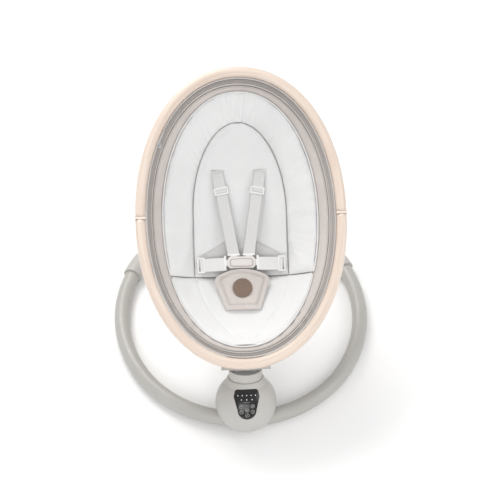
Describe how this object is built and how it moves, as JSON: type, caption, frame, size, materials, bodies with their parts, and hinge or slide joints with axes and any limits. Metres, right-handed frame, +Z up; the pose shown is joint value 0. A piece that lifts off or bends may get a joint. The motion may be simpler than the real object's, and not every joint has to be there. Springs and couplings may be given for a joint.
{
  "type": "baby swing",
  "caption": "Infant swing: oval wood-rimmed fabric seat with harness, swaying about a leaning axis on a round motor pod in a D-shaped tube floor base.",
  "frame": {"origin": "on the floor, below the middle of the bounding box", "axes": "+X to the right seen from above with the head up the page, +Y from the pod and foot end towards the head end, +Z up"},
  "size_m": [0.5846, 0.6113, 0.5513],
  "materials": {
    "floor_tube": "satin powder coat, warm grey",
    "grey_plastic": "fine moulded texture, warm grey",
    "rubber": "matt",
    "panel_black": "gloss black",
    "key_black": "satin black",
    "light_pipe": "milky",
    "board_green": "solder mask",
    "steel": "turned",
    "copper": "enamelled winding",
    "alloy": "die cast",
    "wood_rim": "pale grain, satin",
    "rim_band": "satin",
    "grey_fabric": "fine melange weave",
    "grey_tape": "zip tape",
    "white_fabric": "soft knit",
    "webbing": "woven webbing",
    "white_plastic": "satin",
    "buckle_grey": "satin",
    "badge": "felt"
  },
  "bodies": {
    "base": {"base_tube_left": "floor_tube", "base_tube_right": "floor_tube", "rear_tube": "floor_tube", "corner_left": "grey_plastic", "corner_right": "grey_plastic", "sleeve_left": "grey_plastic", "sleeve_right": "grey_plastic", "rear_pads": "rubber", "front_pad": "rubber", "pod_lower_shell": "grey_plastic", "pod_upper_shell": "grey_plastic", "pod_screws": "steel", "panel_fascia": "panel_black", "indicator_lights": "light_pipe", "control_board": "board_green", "speaker": "rubber", "bearing_carrier": "alloy", "swing_bearings": "steel", "drive_coil": "copper", "power_jack": "rubber"},
    "arm": {"swing_shaft": "steel", "shaft_nut": "steel", "magnet_lever": "steel", "drive_magnet": "steel", "arm_core": "alloy", "arm_front_shell": "grey_plastic", "arm_back_shell": "grey_plastic", "hinge_pin": "steel"},
    "seat": {"seat_bracket": "grey_plastic", "bracket_screws": "steel", "rim_lower": "wood_rim", "rim_upper": "wood_rim", "rim_joint_bands": "rim_band", "rim_joint_pins": "steel", "seat_shell": "grey_fabric", "zip_tape": "grey_tape", "zip_slider": "steel", "inlay_rim_cushion": "white_fabric", "inlay_panel": "white_fabric", "leg_panel": "white_fabric", "shoulder_strap_left": "webbing", "shoulder_strap_right": "webbing", "strap_adjusters": "white_plastic", "waist_strap_left": "webbing", "waist_strap_right": "webbing", "waist_adjusters": "white_plastic", "crotch_pad": "grey_fabric", "crotch_badge": "badge", "buckle_body": "buckle_grey", "buckle_tongues": "white_plastic"},
    "button_power": {"button_power": "key_black"},
    "button_sway": {"button_sway": "key_black"},
    "button_timer": {"button_timer": "key_black"},
    "button_music": {"button_music": "key_black"},
    "button_volume": {"button_volume": "key_black"},
    "button_sound": {"button_sound": "key_black"},
    "release_button_left": {"release_button_left": "white_plastic"},
    "release_button_right": {"release_button_right": "white_plastic"},
    "buckle_button": {"buckle_button": "buckle_grey"}
  },
  "joints": [
    {"name": "swing", "type": "hinge", "parent": "base", "child": "arm", "pos_m": [0, -0.23976, 0.064], "axis": [0, 0.4695, 0.8829], "range_deg": [-12, 12]},
    {"name": "recline", "type": "hinge", "parent": "arm", "child": "seat", "pos_m": [0, -0.18904, 0.1594], "axis": [1, 0, 0], "range_deg": [-33, 8]},
    {"name": "press_power", "type": "slide", "parent": "base", "child": "button_power", "axis": [0, 0.6561, -0.7547], "range_m": [0, 0.0008], "stiffness_N_per_m": 500, "springref_m": -0.0006},
    {"name": "press_sway", "type": "slide", "parent": "base", "child": "button_sway", "axis": [0, 0.6561, -0.7547], "range_m": [0, 0.0008], "stiffness_N_per_m": 500, "springref_m": -0.0006},
    {"name": "press_timer", "type": "slide", "parent": "base", "child": "button_timer", "axis": [0, 0.6561, -0.7547], "range_m": [0, 0.0008], "stiffness_N_per_m": 500, "springref_m": -0.0006},
    {"name": "press_music", "type": "slide", "parent": "base", "child": "button_music", "axis": [0, 0.6561, -0.7547], "range_m": [0, 0.0008], "stiffness_N_per_m": 500, "springref_m": -0.0006},
    {"name": "press_volume", "type": "slide", "parent": "base", "child": "button_volume", "axis": [0, 0.6561, -0.7547], "range_m": [0, 0.0008], "stiffness_N_per_m": 500, "springref_m": -0.0006},
    {"name": "press_sound", "type": "slide", "parent": "base", "child": "button_sound", "axis": [0, 0.6561, -0.7547], "range_m": [0, 0.0008], "stiffness_N_per_m": 500, "springref_m": -0.0006},
    {"name": "press_release_left", "type": "slide", "parent": "seat", "child": "release_button_left", "axis": [1, 0, 0], "range_m": [0, 0.0035], "stiffness_N_per_m": 500, "springref_m": -0.002},
    {"name": "press_release_right", "type": "slide", "parent": "seat", "child": "release_button_right", "axis": [-1, 0, 0], "range_m": [0, 0.0035], "stiffness_N_per_m": 500, "springref_m": -0.002},
    {"name": "press_buckle", "type": "slide", "parent": "seat", "child": "buckle_button", "axis": [0, 0.5446, -0.8387], "range_m": [0, 0.0012], "stiffness_N_per_m": 500, "springref_m": -0.0008}
  ]
}
